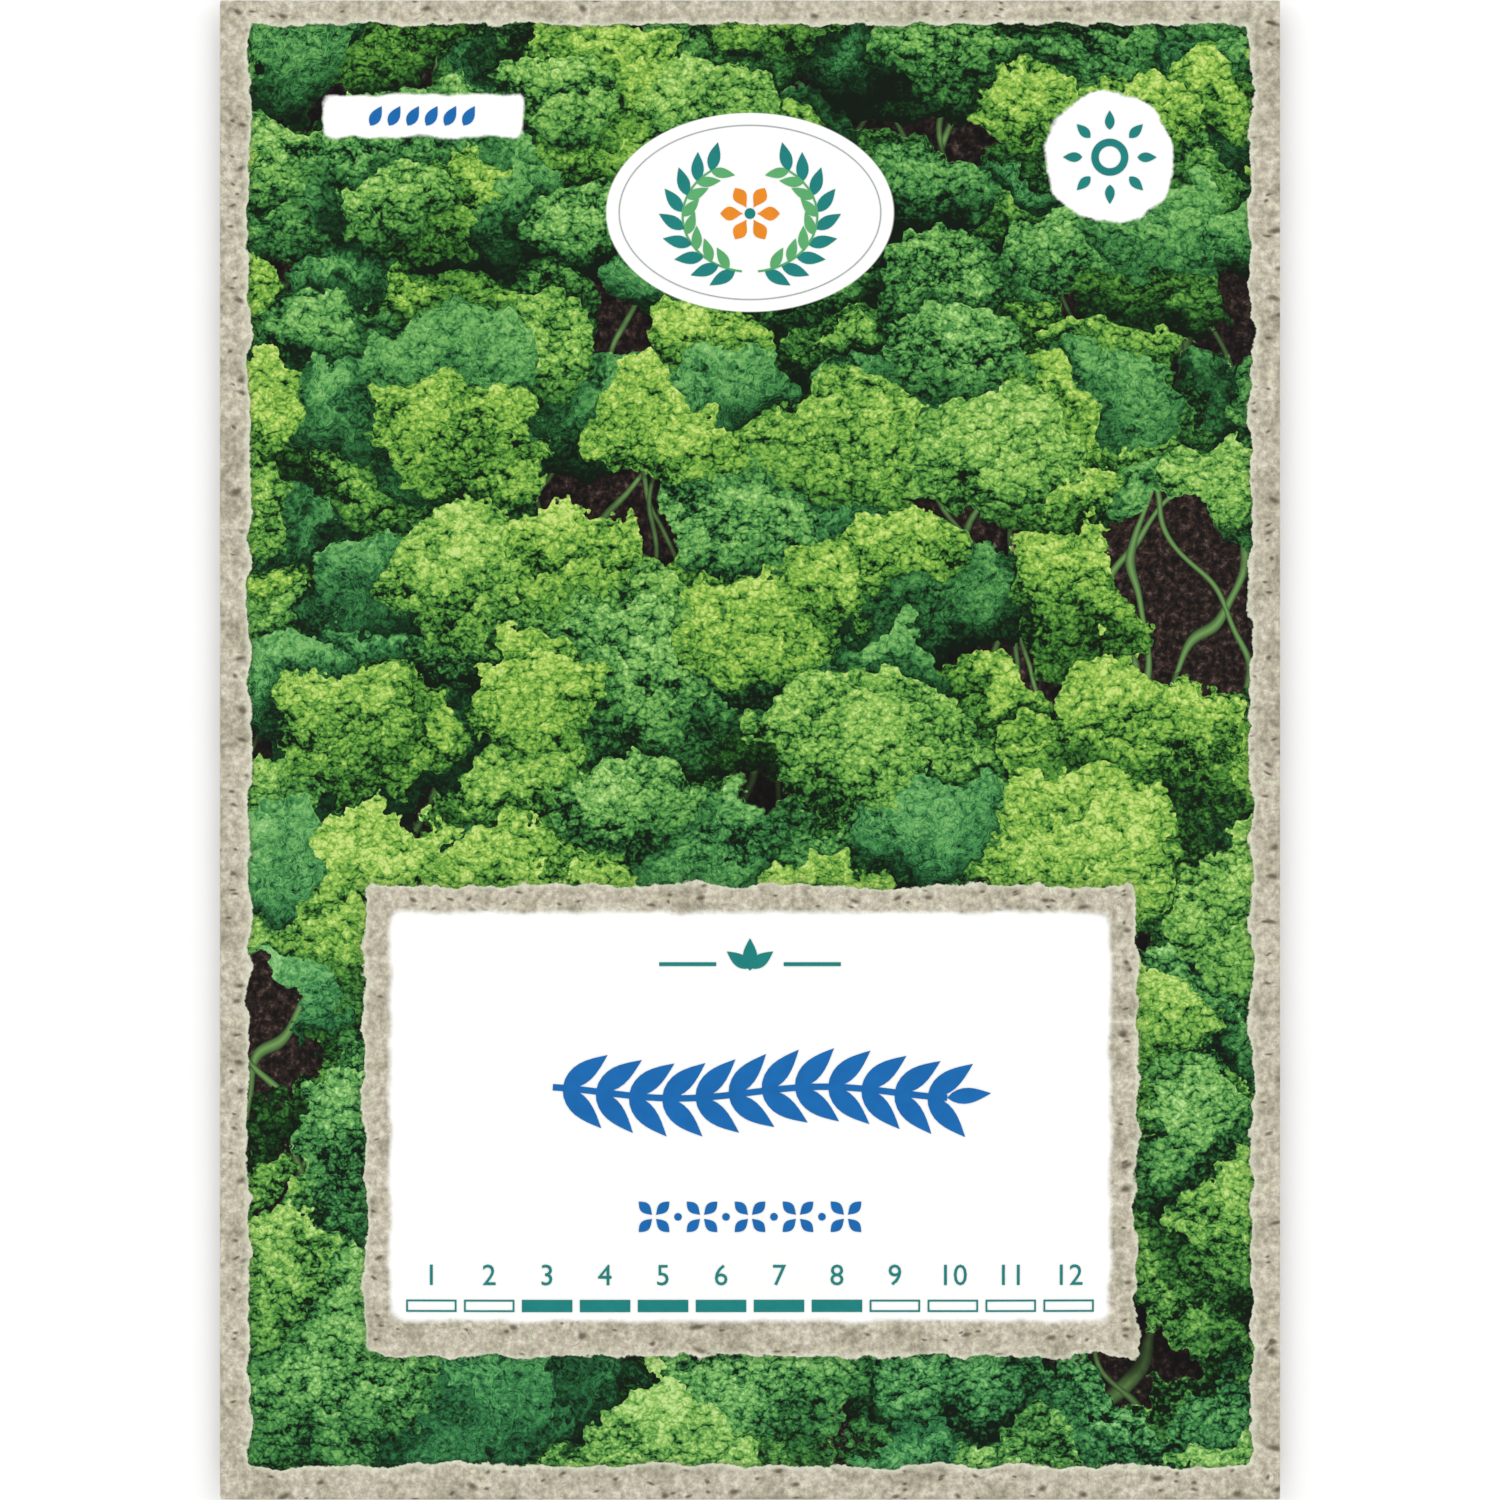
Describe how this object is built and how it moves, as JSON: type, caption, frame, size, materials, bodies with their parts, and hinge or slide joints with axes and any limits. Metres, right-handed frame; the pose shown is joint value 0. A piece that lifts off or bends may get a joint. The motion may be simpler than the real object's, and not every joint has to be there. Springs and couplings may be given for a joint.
{
  "type": "seed packet",
  "caption": "Flat paper seed packet, filled and glued shut, with folded sides and end flaps glued on the back and a heap of crescent seeds inside.",
  "frame": {"origin": "under the middle of the packet, on the surface that it lies on", "axes": "+Z out of the printed front, which faces up; +Y towards the packet's top edge; +X to the right as the front is read"},
  "size_m": [0.082, 0.116, 0.0043],
  "materials": {
    "printed_paper": "offset-printed coated paper, satin",
    "glue": "dried dextrin glue, satin",
    "seed_coat": "dry ribbed seed coat, matte"
  },
  "bodies": {
    "root": {"paper_bag": "printed_paper", "side_glue": "glue", "bottom_glue": "glue", "top_glue": "glue", "seeds": "seed_coat"}
  },
  "joints": []
}
